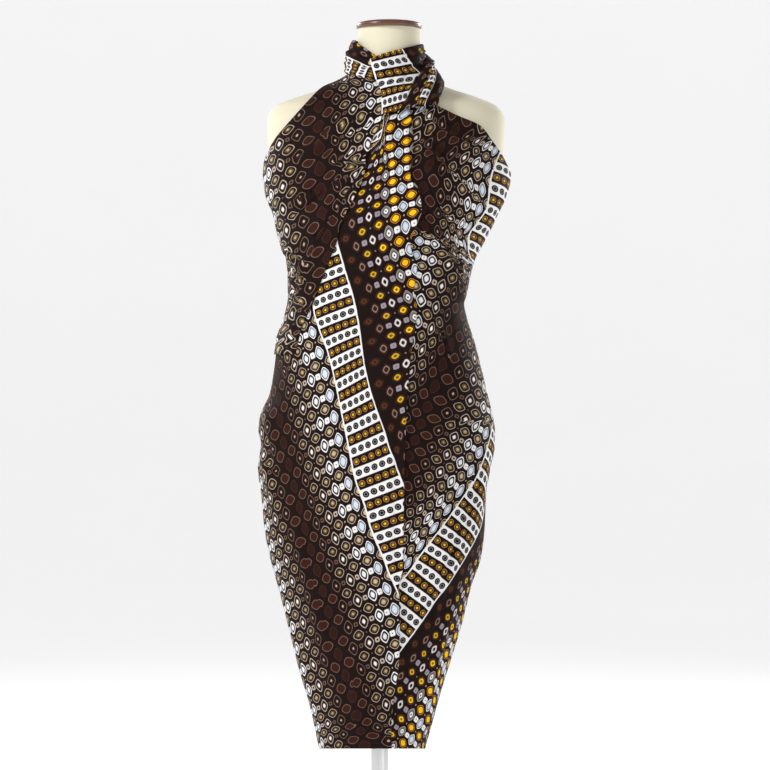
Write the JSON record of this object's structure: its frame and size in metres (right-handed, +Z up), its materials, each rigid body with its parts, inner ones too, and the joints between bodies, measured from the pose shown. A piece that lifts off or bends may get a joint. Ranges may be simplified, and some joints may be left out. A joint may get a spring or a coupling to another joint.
{
  "type": "sarong tied as a halter dress on a limbless dress form",
  "caption": "A printed cotton sarong wrapped and twisted into a halter dress, resting on a limbless dress form with a pole and a round base",
  "frame": {"origin": "on the floor, under the middle of the part's box, beside the pole's axis", "axes": "+Z up, the front faces -Y, the part's height is along Z"},
  "size_m": [0.4102, 0.37, 1.5008],
  "materials": {
    "cloth": "printed plain-weave cotton",
    "form_cover": "cream jersey cover",
    "wood": "satin varnished",
    "stand": "brushed"
  },
  "bodies": {
    "root": {"wrap_back": "cloth", "wrap_right": "cloth", "wrap_left": "cloth", "bodice_left": "cloth", "strap_over": "cloth", "strap_left": "cloth", "loop_right": "cloth", "knot_back": "cloth", "tail_left": "cloth", "tail_right": "cloth", "form_torso": "form_cover", "form_cap": "wood", "form_collar": "stand", "form_pole": "stand", "form_base": "stand"}
  },
  "joints": []
}
